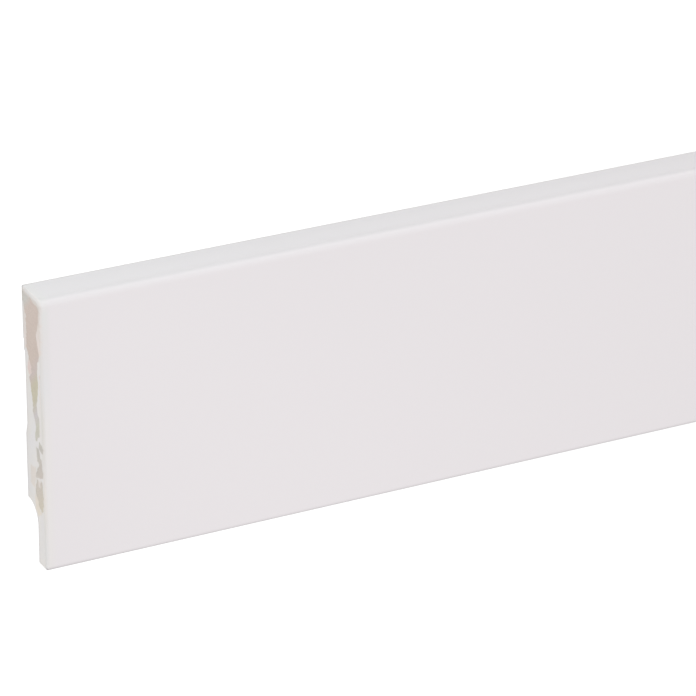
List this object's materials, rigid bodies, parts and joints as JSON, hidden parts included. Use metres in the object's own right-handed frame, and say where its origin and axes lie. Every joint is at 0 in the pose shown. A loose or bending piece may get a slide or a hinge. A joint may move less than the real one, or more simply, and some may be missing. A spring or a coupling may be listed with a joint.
{
  "type": "skirting board length",
  "caption": "Straight flat-faced skirting board with a rounded top edge, a coved cable channel behind its foot and a shallow hollow in its back, lacquered white, cut square at both ends.",
  "frame": {"origin": "middle of the board's length and height, on the level floor that its back lies on", "axes": "+X along the length, +Y from the bottom edge towards the top edge, +Z out of the front face, which looks up"},
  "size_m": [2.4, 0.1, 0.015],
  "materials": {
    "lacquered_fibreboard": "satin white lacquer on medium-density fibreboard, raw brown-beige core at the cut ends"
  },
  "bodies": {
    "root": {"skirting_board": "lacquered_fibreboard"}
  },
  "joints": []
}
